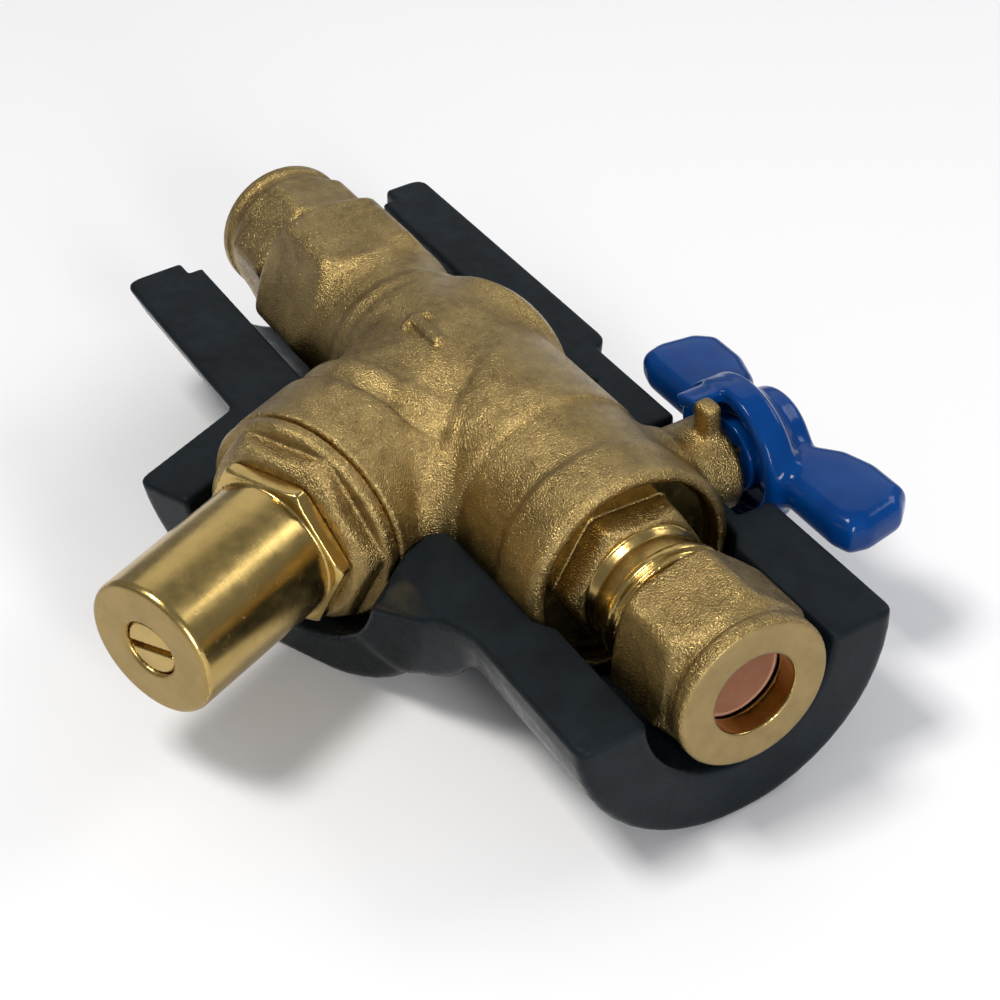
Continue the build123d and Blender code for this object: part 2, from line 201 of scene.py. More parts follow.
def surface(name, field, low, high, step, body, slot, paint, stands_for, bands=()):
    """Meshes a distance field given in millimetres, as one smooth closed piece."""
    sides = [np.arange(a, b + step, step) for a, b in zip(low, high)]
    value = field(*np.meshgrid(*sides, indexing="ij", sparse=True))
    inside = value < 0
    n = np.array(value.shape) - 1
    total = np.zeros(n, np.int8)
    for i, j, k in CORNERS:
        total += inside[i:i + n[0], j:j + n[1], k:k + n[2]]
    active = (total > 0) & (total < 8)
    cells = np.argwhere(active)
    number = np.full(active.shape, -1, np.int32)
    number[active] = np.arange(len(cells))
    place = np.zeros((len(cells), 3))
    count = np.zeros(len(cells))
    for a, b in EDGES:
        va = value[tuple((cells + CORNERS[a]).T)]
        vb = value[tuple((cells + CORNERS[b]).T)]
        cross = (va < 0) != (vb < 0)
        part = np.where(cross, va / np.where(cross, va - vb, 1), 0)
        place += cross[:, None] * (CORNERS[a] + part[:, None] * (CORNERS[b] - CORNERS[a]))
        count += cross
    points = np.array([side[0] for side in sides]) + (cells + place / count[:, None]) * step
    points = to_surface(field, points, step)
    quads = []
    for a in range(3):
        b, c = (a + 1) % 3, (a + 2) % 3
        start = [slice(None)] * 3
        end = [slice(None)] * 3
        start[a], end[a] = slice(0, -1), slice(1, None)
        edge = np.argwhere(inside[tuple(start)] != inside[tuple(end)])
        edge = edge[((edge[:, b] > 0) & (edge[:, c] > 0)
                     & (edge[:, b] < n[b]) & (edge[:, c] < n[c]))]
        ring = []
        for db, dc in ((-1, -1), (0, -1), (0, 0), (-1, 0)):
            cell = edge.copy()
            cell[:, b] += db
            cell[:, c] += dc
            ring.append(number[tuple(cell.T)])
        ring = np.stack(ring, 1)
        flip = ~inside[tuple(edge.T)]
        ring[flip] = ring[flip][:, ::-1]
        quads.append(ring)
    quads = np.concatenate(quads)
    world = points * MM + np.array([CROSSING_X, 0, 0])
    mesh = bpy.data.meshes.new(name)
    mesh.vertices.add(len(world))
    mesh.vertices.foreach_set("co", world.astype(np.float32).ravel())
    mesh.loops.add(quads.size)
    mesh.loops.foreach_set("vertex_index", quads.astype(np.int32).ravel())
    mesh.polygons.add(len(quads))
    mesh.polygons.foreach_set("loop_start", np.arange(0, quads.size, 4, dtype=np.int32))
    mesh.polygons.foreach_set("use_smooth", np.ones(len(quads), bool))
    mesh.materials.append(paint)
    middle = points[quads].mean(1)
    index = np.zeros(len(quads), np.int32)
    for i, (other, where) in enumerate(bands):
        mesh.materials.append(other)
        index[where(*middle.T)] = i + 1
    mesh.polygons.foreach_set("material_index", index)
    mesh.update(calc_edges=True)
    mesh.validate()
    piece = bpy.data.objects.new(name, mesh)
    bpy.context.scene.collection.objects.link(piece)
    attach(piece, body)
    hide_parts(stands_for)
    return piece


# ================================================================ materials
class Paint:
    """A Principled material and the few nodes that these finishes share."""

    def __init__(self, name, color, metallic, roughness):
        self.material = bpy.data.materials.new(name)
        self.material.use_nodes = True
        self.tree = self.material.node_tree
        self.shader = self.tree.nodes["Principled BSDF"]
        self.shader.inputs["Base Color"].default_value = (*color, 1)
        self.shader.inputs["Metallic"].default_value = metallic
        self.shader.inputs["Roughness"].default_value = roughness
        self.place = self.node("ShaderNodeTexCoord").outputs["Object"]
        self.height = None

    def node(self, kind, **values):
        node = self.tree.nodes.new(kind)
        for key, value in values.items():
            setattr(node, key, value)
        return node

    def join(self, source, target):
        self.tree.links.new(source, target)

    def along(self, axis_deg, stretch):
        """Coordinates turned so that X is the turning axis, then stretched."""
        turn = self.node("ShaderNodeVectorRotate", rotation_type="Z_AXIS")
        turn.inputs["Angle"].default_value = math.radians(axis_deg)
        self.join(self.place, turn.inputs["Vector"])
        scale = self.node("ShaderNodeVectorMath", operation="MULTIPLY")
        scale.inputs[1].default_value = stretch
        self.join(turn.outputs[0], scale.inputs[0])
        return scale.outputs[0]

    def noise(self, size_mm, detail=2.0, rough=0.5, place=None):
        node = self.node("ShaderNodeTexNoise")
        node.inputs["Scale"].default_value = 1 / (size_mm * MM)
        node.inputs["Detail"].default_value = detail
        node.inputs["Roughness"].default_value = rough
        self.join(place or self.place, node.inputs["Vector"])
        return node.outputs["Fac"]

    def spread(self, source, low, high, out_low, out_high):
        node = self.node("ShaderNodeMapRange")
        for key, value in zip(("From Min", "From Max", "To Min", "To Max"),
                              (low, high, out_low, out_high)):
            node.inputs[key].default_value = value
        self.join(source, node.inputs["Value"])
        return node.outputs["Result"]

    def colors(self, source, stops):
        ramp = self.node("ShaderNodeValToRGB")
        steps = ramp.color_ramp.elements
        while len(steps) < len(stops):
            steps.new(0.5)
        for step, (at, color) in zip(steps, stops):
            step.position = at
            step.color = (*color, 1)
        self.join(source, ramp.inputs["Fac"])
        self.join(ramp.outputs["Color"], self.shader.inputs["Base Color"])

    def rough(self, source, low, high):
        self.join(self.spread(source, 0.3, 0.7, low, high), self.shader.inputs["Roughness"])

    def bump(self, source, height_mm, strength=1.0):
        node = self.node("ShaderNodeBump")
        node.inputs["Strength"].default_value = strength
        node.inputs["Distance"].default_value = height_mm * MM
        self.join(source, node.inputs["Height"])
        if self.height is not None:
            self.join(self.height, node.inputs["Normal"])
        self.height = node.outputs["Normal"]
        self.join(self.height, self.shader.inputs["Normal"])


def cast_brass():
    """Shot-blasted casting: fine pits that sparkle, and tone that is mottled down to the grain."""
    paint = Paint("cast_brass_skin", (0.42, 0.30, 0.13), 1.0, 0.42)
    paint.colors(paint.noise(7.0, 5.0, 0.85), [(0.34, (0.22, 0.150, 0.055)),
                                               (0.66, (0.44, 0.312, 0.122))])
    paint.rough(paint.noise(0.9, 3.0, 0.6), 0.26, 0.42)
    paint.bump(paint.noise(2.6, 2.0), 0.03, 0.4)
    paint.bump(paint.noise(0.26, 1.0, 0.5), 0.20, 1.0)
    return paint.material


def turned_brass(name, axis_deg, base=(0.54, 0.38, 0.13), low=0.16, high=0.30):
    """Lathe-turned brass: fine rings round the axis and a few handling marks."""
    paint = Paint(name, base, 1.0, low)
    rings = paint.along(axis_deg, (1.0, 0.02, 0.02))
    dark = tuple(0.82 * c for c in base)
    paint.colors(paint.noise(5.0, 4.0, 0.65), [(0.3, dark), (0.62, base)])
    paint.rough(paint.noise(2.4, 5.0, 0.7), low, high)
    paint.bump(paint.noise(0.16, 2.0, 0.6, rings), 0.012, 0.5)
    paint.bump(paint.noise(0.9, 4.0, 0.7), 0.02, 0.25)
    return paint.material


def copper():
    """Turned copper with fine rings round the run."""
    paint = Paint("turned_copper", (0.92, 0.52, 0.38), 0.4, 0.3)
    paint.colors(paint.noise(2.5, 4.0, 0.7), [(0.3, (0.92, 0.46, 0.29)), (0.7, (1.0, 0.60, 0.42))])
    paint.rough(paint.noise(1.0, 3.0), 0.30, 0.42)
    paint.bump(paint.noise(0.18, 2.0, 0.6, paint.along(0, (1.0, 0.02, 0.02))), 0.02, 0.6)
    return paint.material


def blue_coating():
    """Thick dip coating: glossy, with a slow orange peel."""
    paint = Paint("blue_coating_skin", (0.0, 0.05, 0.30), 0.0, 0.24)
    paint.colors(paint.noise(6.0, 3.0), [(0.3, (0.0, 0.030, 0.15)), (0.7, (0.001, 0.042, 0.19))])
    paint.rough(paint.noise(1.6, 3.0), 0.11, 0.20)
    paint.shader.inputs["Specular IOR Level"].default_value = 0.15
    paint.bump(paint.noise(2.2, 2.0), 0.05, 0.5)
    paint.bump(paint.noise(0.5, 2.0), 0.008, 0.4)
    paint.shader.inputs["Coat Weight"].default_value = 0.08
    paint.shader.inputs["Coat Roughness"].default_value = 0.08
    return paint.material


def jacket_skin(name, low, high, grain):
    """Moulded black insulation with a fine closed-cell grain and rubbed patches."""
    paint = Paint(name, (0.013, 0.017, 0.022), 0.0, low)
    paint.colors(paint.noise(9.0, 5.0, 0.65), [(0.3, (0.003, 0.005, 0.007)),
                                               (0.72, (0.008, 0.013, 0.017))])
    paint.rough(paint.noise(3.0, 5.0, 0.7), low, high)
    paint.bump(paint.noise(4.0, 3.0), 0.10, 0.4)
    paint.bump(paint.noise(0.45, 2.0), grain, 0.6)
    paint.shader.inputs["Specular IOR Level"].default_value = 0.12
    return paint.material


def plain(name, color, metallic, low, high, grain=0.6, height=0.01, drawn=False):
    """Finish with slight changes of tone, roughness and surface, for inner pieces and nut faces."""
    paint = Paint(name, color, metallic, low)
    paint.colors(paint.noise(3.0, 3.0), [(0.3, tuple(0.82 * c for c in color)), (0.7, color)])
    paint.rough(paint.noise(1.2, 3.0), low, high)
    place = paint.along(0, (1.0, 0.03, 0.03)) if drawn else None
    paint.bump(paint.noise(grain, 2.0, 0.5, place), height, 0.5)
    return paint.material


BRANCH_DEG = math.degrees(math.atan2(LEAN_COS, LEAN_SIN))
CAST = cast_brass()
TURNED_RUN = turned_brass("turned_brass_run", 0)
TURNED_BRANCH = turned_brass("turned_brass_branch", BRANCH_DEG)
FACE = plain("nut_face_skin", (0.34, 0.245, 0.105), 1.0, 0.36, 0.50, 0.28, 0.12)
CAP_FACE = turned_brass("turned_brass_cap_end", BRANCH_DEG, (0.37, 0.26, 0.095), 0.30, 0.44)
COPPER = copper()
BLUE = blue_coating()
JACKET_TOP = jacket_skin("jacket_parting_face", 0.42, 0.60, 0.02)
JACKET_OUT = jacket_skin("jacket_outer_skin", 0.20, 0.36, 0.008)
STEEL = plain("plain_steel", (0.55, 0.56, 0.57), 1.0, 0.25, 0.40, 0.2, 0.01, drawn=True)
CHROME = plain("chrome_plate", (0.75, 0.76, 0.78), 1.0, 0.06, 0.12)
RUBBER = plain("seal_rubber_skin", (0.02, 0.02, 0.02), 0.0, 0.5, 0.7, 0.3, 0.01)
PTFE = plain("ptfe_skin", (0.80, 0.80, 0.78), 0.0, 0.35, 0.5)
ACETAL = plain("acetal_skin", (0.74, 0.73, 0.68), 0.0, 0.35, 0.5)

# ================================================================ valve body
BODY_RUN = lathe([(-25.4, 0), (-25.4, 13.9), (-21.0, 13.3), (-17.2, 13.4), (-15.0, 14.3),
                  (-12.8, 14.2), (-11.2, 14.7), (-5.0, 15.6), (4.0, 16.1), (13.0, 16.4),
                  (30.0, 16.5), (30.5, 16.0), (42.0, 16.0), (43.4, 16.6), (51.3, 16.6),
                  (52.0, 16.0), (52.0, 0)], 0.5)
BODY_HEX = lathe([(-43.9, 0), (-43.9, 12.9), (-40.6, 16.0), (-27.4, 16.0), (-24.4, 13.7),
                  (-24.4, 0)], 0.4)
BODY_MALE = lathe([(-52.85, 0), (-52.85, 9.8), (-52.2, 10.4), (-44.6, 10.4), (-44.2, 9.7),
                   (-43.0, 9.7), (-43.0, 0)], 0.1)
BODY_BRANCH = lathe([(-14.2, 0), (-14.2, 10.6), (-13.4, 13.2), (-11.4, 15.0), (-3.6, 15.2),
                     (-3.2, 15.5), (14.0, 15.5), (16.4, 15.8), (18.0, 16.7), (19.4, 16.7),
                     (21.4, 16.0), (23.0, 15.9), (23.4, 16.9), (24.4, 17.2), (34.7, 17.2),
                     (34.7, 0)], 0.25)
RUN_HOLLOW = lathe([(17.6, 0), (17.6, 8.8), (26.5, 8.8), (26.5, 10.0), (32.2, 10.0),
                    (32.2, 10.8), (43.5, 10.8), (43.5, 12.35), (48.5, 12.35), (48.5, 14.7),
                    (53.0, 14.7), (53.0, 0)], 0.1)
INLET_WAY = lathe([(9.0, 0), (9.0, 6.2), (18.0, 6.2), (18.0, 0)], 0.1)
OUTLET_WAY = lathe([(-54.0, 0), (-54.0, 8.4), (-52.85, 8.4), (-50.25, SOCKET_R),
                    (-42.15, SOCKET_R), (-42.15, 5.25), (-11.0, 5.25), (-11.0, 0)], 0.1)
DOME_SPACE = lathe([(-11.0, 0), (-11.0, 9.0), (-9.0, 11.5), (0.0, 11.5), (0.0, 0)], 0.2)
SEAT_POCKET = lathe([(-0.4, 0), (-0.4, 7.0), (4.2, 7.0), (4.2, 0)], 0.1)
BRANCH_SPACE = lathe([(4.0, 0), (4.0, 12.0), (24.0, 12.0), (24.0, 13.6), (36.0, 13.6),
                      (36.0, 0)], 0.1)
STEM_WAY = lathe([(5.0, 0), (5.0, 5.5), (12.5, 5.5), (12.5, 4.05), (26.0, 4.05), (26.0, 0)], 0.1)
BOSS = lathe([(4.0, 0), (4.0, 8.4), (16.0, 8.2), (17.6, 7.5), (23.9, 7.5), (24.5, 6.9),
              (24.5, 0)], 0.3)
ARROW = outline([(-2.4, 0), (-0.4, 2.7), (0.4, 2.3), (-0.7, 1.05), (8.2, 1.05), (8.2, -1.05),
                 (-0.7, -1.05), (0.4, -2.3), (-0.4, -2.7)], 0.3)
ARROW_TILT, ARROW_HEIGHT = math.radians(17), 0.8
SEAM_FILLET, CROTCH_FILLET, CROTCH_REACH = 1.8, 6.0, 7.0
BARREL_EDGE, BARREL_FACING = (17.0, -4.2), (0.83, 0.56)
BARREL_STEP, BARREL_STEP_WIDTH = 0.5, 2.6
BODY_FLATS, BODY_FLATS_DEG = 27.6, 30.0
WEB_PLACE, WEB_SIZE = (19.5, -17.5), (4.6, 4.6, 1.3)
LUG_PLACE, LUG_SIZE = (1.6, 21.8, 8.4), (1.8, 1.5, 4.2)


def body_outside(x, y, z):
    """The casting with no hollows: run, branch, raised barrel end, flats, thread, boss and arrow."""
    r = np.hypot(y, z)
    s, p = on_branch(x, y)
    q = np.hypot(p, z)
    w = np.hypot(x - BALL_X, z)
    crotch = np.clip(np.minimum(p, -y) / CROTCH_REACH, 0, 1)
    shape = blend_min(BODY_RUN(x, r), BODY_BRANCH(s, q), SEAM_FILLET + CROTCH_FILLET * crotch)
    past_edge = (x - BARREL_EDGE[0]) * BARREL_FACING[0] + (y - BARREL_EDGE[1]) * BARREL_FACING[1]
    barrel_end = np.clip(past_edge / BARREL_STEP_WIDTH + 0.5, 0, 1)
    barrel_end = barrel_end * barrel_end * (3 - 2 * barrel_end)
    fade = np.clip((5 - y) / 5, 0, 1) * np.clip((31 - x) / 6, 0, 1)
    shape = shape - BARREL_STEP * barrel_end * fade
    flats = blend_max(hexagon(z, -y, BODY_FLATS, BODY_FLATS_DEG, 1.0), BODY_HEX(x, r), 0.9)
    shape = blend_min(shape, flats, 0.8)
    shape = np.minimum(shape, BODY_MALE(x, r))
    web = block(x - WEB_PLACE[0], y - WEB_PLACE[1], z, WEB_SIZE, 1.0)
    shape = blend_min(shape, web, 3.0)
    shape = blend_min(shape, BOSS(y, w), 3.0)
    lug = block(x - BALL_X - LUG_PLACE[0], y - LUG_PLACE[1], z - LUG_PLACE[2], LUG_SIZE, 1.0)
    shape = blend_min(shape, lug, 1.4)
    across = y * math.cos(ARROW_TILT) + z * math.sin(ARROW_TILT)
    up = z * math.cos(ARROW_TILT) - y * math.sin(ARROW_TILT)
    raised = blend_max(ARROW(x, across), np.abs(shape) - ARROW_HEIGHT, 0.3)
    raised = np.where(up > 5, raised, 9.0)
    return blend_min(shape, raised, 0.35)


def body_field(x, y, z):
    """The casting with its waterways and pockets taken out."""
    shape = body_outside(x, y, z)
    r = np.hypot(y, z)
    s, p = on_branch(x, y)
    q = np.hypot(p, z)
    w = np.hypot(x - BALL_X, z)
    for hollow in (RUN_HOLLOW(x, r), INLET_WAY(x, r), OUTLET_WAY(x, r), DOME_SPACE(s, q),
                   SEAT_POCKET(s, q), BRANCH_SPACE(s, q), STEM_WAY(y, w)):
        shape = blend_max(shape, -hollow, 0.25)
    return shape


def reach(node, spare=1.0):
    """Grid limits for a piece, from its CAD node's box."""
    low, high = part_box(node)
    low = [(low.x - CROSSING_X) / MM, low.y / MM, low.z / MM]
    high = [(high.x - CROSSING_X) / MM, high.y / MM, high.z / MM]
    return [v - spare for v in low], [v + spare for v in high]


def on_bare_metal(x, y, z):
    """Machined faces of the body: its open ends and everything bored inside."""
    return body_outside(x, y, z) < -0.45


surface("cast_body", body_field, *reach("valve_body"), 0.55, "valve", "cast_brass", CAST,
        "valve_body", [(TURNED_RUN, on_bare_metal)])

# ================================================================ inlet connector
CONNECTOR = lathe([(43.6, 0), (43.6, 12.3), (48.5, 12.3), (48.5, 14.4), (49.7, 14.4), (49.7, 9.4),
                   (55.2, 9.4), (56.2, 9.0), (59.6, 9.0), (60.2, 10.3), (61.4, 10.4),
                   (61.8, 9.65), (62.4, 9.65), (62.8, 10.4), (63.2, 10.4), (63.6, 9.65),
                   (64.2, 9.65), (64.6, 10.4), (71.6, 10.4), (72.2, 9.8), (72.2, 0)], 0.1)
CONNECTOR_HEX = lathe([(49.6, 0), (49.6, 11.7), (53.6, 11.7), (54.8, 10.3), (54.8, 0)], 0.3)
CONNECTOR_BORE = lathe([(43.0, 0), (43.0, 10.0), (46.2, 10.0), (46.2, 5.25), (61.5, 5.25),
                        (61.5, SOCKET_R), (69.6, SOCKET_R), (72.2, 8.4), (73.0, 8.4),
                        (73.0, 0)], 0.1)
CONNECTOR_FLATS, CONNECTOR_FLATS_DEG = 20.4, 26.0
CONNECTOR_GROOVE_X, CONNECTOR_GROOVE_HALF, CONNECTOR_GROOVE_R = 47.5, 0.6, 11.2


def connector_field(x, y, z):
    r = np.hypot(y, z)
    flats = hexagon(z, -y, CONNECTOR_FLATS, CONNECTOR_FLATS_DEG, 0.7)
    flats = blend_max(flats, CONNECTOR_HEX(x, r), 0.6)
    shape = blend_min(CONNECTOR(x, r), flats, 0.3)
    shape = blend_max(shape, -CONNECTOR_BORE(x, r), 0.2)
    groove = blend_max(np.abs(x - CONNECTOR_GROOVE_X) - CONNECTOR_GROOVE_HALF,
                       CONNECTOR_GROOVE_R - r, 0.1)
    return blend_max(shape, -groove, 0.1)


def on_cast_flats(x, y, z):
    """The connector's hexagon, which keeps its cast skin."""
    return (x > 49.75) & (x < 54.9) & (np.hypot(y, z) > 9.75)


surface("hex_connector", connector_field, *reach("inlet_connector"), 0.33, "valve",
        "cast_brass", TURNED_RUN, "inlet_connector", [(CAST, on_cast_flats)])

# ================================================================ compression nuts
NUT_SHOULDER = lathe([(64.4, 0), (64.4, 11.6), (65.5, 13.2), (75.2, 13.2), (76.8, 11.6),
                      (76.8, 0)], 0.4)
NUT_COLLAR = lathe([(72.0, 0), (72.0, 11.2), (76.8, 11.7), (77.6, 11.4), (79.0, 11.4),
                    (79.5, 11.8), (81.1, 11.8), (81.6, 11.3), (81.6, 0)], 0.25)
NUT_BORE = lathe([(63.0, 0), (63.0, 10.9), (64.4, 10.8), (65.0, 10.5), (74.6, 10.5),
                  (75.3, 8.9), (78.0, SOCKET_R), (83.0, SOCKET_R), (83.0, 0)], 0.1)
NUT_FLATS, NUT_FLATS_DEG = 22.74, 46.7
NUT_THREAD_END_X, NUT_FACE_X = 77.0, 81.45


def nut_field(x, y, z):
    r = np.hypot(y, z)
    flats = blend_max(hexagon(z, -y, NUT_FLATS, NUT_FLATS_DEG, 0.9), NUT_SHOULDER(x, r), 0.7)
    shape = blend_min(flats, NUT_COLLAR(x, r), 0.6)
    return blend_max(shape, -NUT_BORE(x, r), 0.35)


def far_nut_field(x, y, z):
    return nut_field(END_SWAP - x, -y, z)


def nut_bands(place_x):
    """Turned bore and plain end face; place_x gives a point's place along the nut."""
    def in_bore(x, y, z):
        return np.hypot(y, z) < 10.85 - 4.3 * (place_x(x) > NUT_THREAD_END_X)

    def on_face(x, y, z):
        return place_x(x) > NUT_FACE_X

    return [(TURNED_RUN, in_bore), (FACE, on_face)]


surface("near_nut", nut_field, *reach("inlet_nut"), 0.36, "inlet_nut", "cast_brass", CAST,
        "inlet_nut", nut_bands(lambda x: x))
surface("far_nut", far_nut_field, *reach("outlet_nut"), 0.36, "outlet_nut", "cast_brass", CAST,
        "outlet_nut", nut_bands(lambda x: END_SWAP - x))

# ================================================================ branch: bonnet, cap, screw
BONNET = lathe([(20.0, 0), (20.0, 8.6), (24.0, 8.6), (24.0, 11.9), (24.4, 13.5), (34.72, 13.5),
                (34.72, 16.3), (35.2, 16.6), (35.4, 17.0), (36.9, 17.0), (37.6, 16.5),
                (37.8, 0)], 0.2)
BONNET_HEX = lathe([(36.6, 0), (36.6, 16.6), (38.2, 16.2), (40.2, 15.0), (41.5, 13.5),
                    (41.5, 0)], 0.6)
BONNET_BORE = lathe([(19.0, 0), (19.0, 6.05), (33.0, 6.05), (33.0, 11.45), (43.0, 11.45),
                     (43.0, 0)], 0.1)
BRANCH_HEX_DEG = 28.0
BONNET_FLATS, CAP_FLATS = 28.6, 23.6
BONNET_GROOVE_S, BONNET_GROOVE_HALF, BONNET_GROOVE_R = 26.8, 0.8, 12.1


def bonnet_field(x, y, z):
    s, p = on_branch(x, y)
    q = np.hypot(p, z)
    flats = blend_max(hexagon(z, p, BONNET_FLATS, BRANCH_HEX_DEG, 1.0), BONNET_HEX(s, q), 0.6)
    shape = blend_min(BONNET(s, q), flats, 0.5)
    shape = blend_max(shape, -BONNET_BORE(s, q), 0.2)
    groove = blend_max(np.abs(s - BONNET_GROOVE_S) - BONNET_GROOVE_HALF, BONNET_GROOVE_R - q, 0.1)
    return blend_max(shape, -groove, 0.1)


def bonnet_turned(x, y, z):
    """The bonnet's thread, flange seat and bore, which are turned."""
    s, p = on_branch(x, y)
    q = np.hypot(p, z)
    return (s < 35.6) | (q < 11.6)


surface("bonnet_casting", bonnet_field, *reach("bonnet"), 0.38, "valve", "cast_brass", CAST,
        "bonnet", [(TURNED_BRANCH, bonnet_turned)])

CAP = lathe([(34.4, 0), (34.4, 11.43), (41.6, 11.43), (41.6, 11.2), (44.8, 11.1), (69.2, 11.0),
             (69.8, 10.7), (70.0, 10.3), (70.0, 0)], 0.12)
CAP_FLANGE = lathe([(41.5, 0), (41.5, 12.7), (42.0, 13.6), (43.6, 13.6), (44.2, 12.6),
                    (44.2, 0)], 0.15)
CAP_BORE = lathe([(33.0, 0), (33.0, 9.3), (66.2, 9.3), (66.2, 4.5), (69.6, 4.5), (70.0, 4.9),
                  (71.5, 4.9), (71.5, 0)], 0.1)


def cap_field(x, y, z):
    s, p = on_branch(x, y)
    q = np.hypot(p, z)
    flats = blend_max(hexagon(z, p, CAP_FLATS, BRANCH_HEX_DEG, 0.3), CAP_FLANGE(s, q), 0.3)
    shape = blend_min(CAP(s, q), flats, 0.25)
    return blend_max(shape, -CAP_BORE(s, q), 0.15)


def on_cap_end(x, y, z):
    return on_branch(x, y)[0] > 69.6


surface("spring_cap", cap_field, *reach("spring_housing"), 0.33, "valve", "machined_brass",
        TURNED_BRANCH, "spring_housing", [(CAP_FACE, on_cap_end)])

SCREW = lathe([(56.4, 0), (56.4, 2.6), (56.8, 3.0), (60.52, 3.0), (60.52, 6.4), (62.3, 6.4),
               (62.3, 4.42), (69.2, 4.42), (69.6, 4.0), (69.6, 0)], 0.1)
SLOT_TURN = math.radians(-100)
SLOT_S, SLOT_SIZE = 69.4, (1.1, 6.0, 0.6)


def screw_field(x, y, z):
    s, p = on_branch(x, y)
    along = z * math.cos(SLOT_TURN) + p * math.sin(SLOT_TURN)
    across = p * math.cos(SLOT_TURN) - z * math.sin(SLOT_TURN)
    slot = block(s - SLOT_S, along, across, SLOT_SIZE, 0.1)
    return blend_max(SCREW(s, np.hypot(p, z)), -slot, 0.12)


surface("slotted_screw", screw_field, *reach("adjusting_screw"), 0.22, "screw",
        "machined_brass", TURNED_BRANCH, "adjusting_screw")

# ================================================================ handle
HANDLE_SHELL = lathe([(26.1, 9.6), (26.1, 11.5), (26.6, 11.9), (30.4, 11.9), (31.4, 10.8),
                      (32.4, 8.8), (34.0, 7.8), (36.2, 7.5), (37.0, 6.8), (37.0, 0), (28.4, 0),
                      (28.4, 9.3)], 0.5)
HANDLE_SLEEVE = lathe([(26.4, 0), (26.4, 6.0), (29.5, 6.0), (29.5, 0)], 0.2)
HANDLE_POCKET = lathe([(33.2, 0), (33.2, 5.4), (38.5, 5.4), (38.5, 0)], 0.2)
WING = outline([(6.0, 28.4), (13.0, 27.6), (23.4, 27.6), (26.6, 28.6), (27.5, 32.0),
                (26.4, 38.2), (23.6, 41.2), (16.8, 41.2), (11.6, 39.6), (6.0, 35.0)], 1.2)
WING_HALF, WING_DISH = 3.6, 0.8
TABS = ((-16.5, 13.5), (123.5, 11.5))    # middle and half width of each stop tab, in degrees
TAB_R, TAB_Y = (10.65, 0.95), (24.5, 3.5)
SQUARE_Y, SQUARE_SIZE = 29.5, (2.83, 3.9, 2.83)


def handle_field(x, y, z):
    """Hollow skirt, two dished wings, two stop tabs, nut pocket and the square for the stem."""
    dx = x - BALL_X
    w = np.hypot(dx, z)
    shape = HANDLE_SHELL(y, w)
    shape = np.minimum(shape, HANDLE_SLEEVE(y, w))
    blade = WING(np.abs(dx), y)
    dished = WING_DISH * np.clip(1 + blade / 5, 0, 1) ** 2
    wing = blend_max(blade, np.abs(z) - WING_HALF + dished, 2.4)
    shape = blend_min(shape, wing, 2.2)
    angle = np.degrees(np.arctan2(dx, z))
    for middle, half in TABS:
        off = np.abs((angle - middle + 180) % 360 - 180)
        wedge = (off - half) * math.radians(1) * np.maximum(w, 3)
        tab = blend_max(np.abs(w - TAB_R[0]) - TAB_R[1], np.abs(y - TAB_Y[0]) - TAB_Y[1], 0.5)
        shape = blend_min(shape, blend_max(tab, wedge, 0.6), 0.8)
    shape = blend_max(shape, -HANDLE_POCKET(y, w), 0.3)
    square = block(dx, y - SQUARE_Y, z, SQUARE_SIZE, 0.1)
    return blend_max(shape, -square, 0.1)


surface("wing_handle", handle_field, *reach("handle"), 0.36, "turning", "blue_coating", BLUE,
        "handle")


# ================================================================ jacket
def ellipse(half_width, depth, shift=0.0, steps=48):
    """Outline (across, up) of an oval bar."""
    turns = [2 * math.pi * i / steps for i in range(steps)]
    return [(shift + half_width * math.cos(t), depth * math.sin(t)) for t in turns]


NEAR_ARM = outline(ellipse(25.4, 25.4), 0.3)
OUTLET_ARM = outline([(28.1, 3.0), (28.1, 0.8), (26.4, -8.5), (21.5, -17.0), (13.0, -23.4),
                      (0.0, -25.9), (-12.0, -23.9), (-22.6, -15.6), (-28.6, -6.4),
                      (-31.3, 0.8), (-31.9, 3.0)], 1.5)
BRANCH_ARM = outline(ellipse(28.0, 26.2), 0.3)
CROTCH = outline(ellipse(14.0, 16.0, 22.0), 0.3)
JACKET_HOLLOW = lathe([(-75.0, 0), (-75.0, 20.4), (-57.6, 20.4), (-57.6, 17.9), (-14.0, 17.9),
                       (-10.0, 17.6), (10.0, 17.4), (53.0, 16.9), (56.0, 15.0), (85.0, 15.0),
                       (85.0, 0)], 0.3)
STEM_NOTCH = lathe([(0, 0), (0, 8.5), (19.55, 8.5), (19.55, 12.6), (45.0, 12.6), (45.0, 0)], 0.3)
PARTING_Z, FLAT_STRIP_Z = 0.3, -25.0
NEAR_END_X, FAR_START_X, FAR_END_X = 78.5, 2.0, -61.5
BRANCH_ARM_S, CROTCH_S = -6.0, 8.0
BRANCH_MOUTH_S = 43.2
MOUTH_LEAN = (BRANCH_MOUTH_S - 40.2) / 25.3
BEVEL_LEAN, BEVEL_EDGE_Y = math.radians(35), -25.6
BEVEL_MIDDLE_X, BEVEL_HALF = 56.0, 30.0
CHANNEL_R, CHANNEL_END_S = 17.7, -14.8


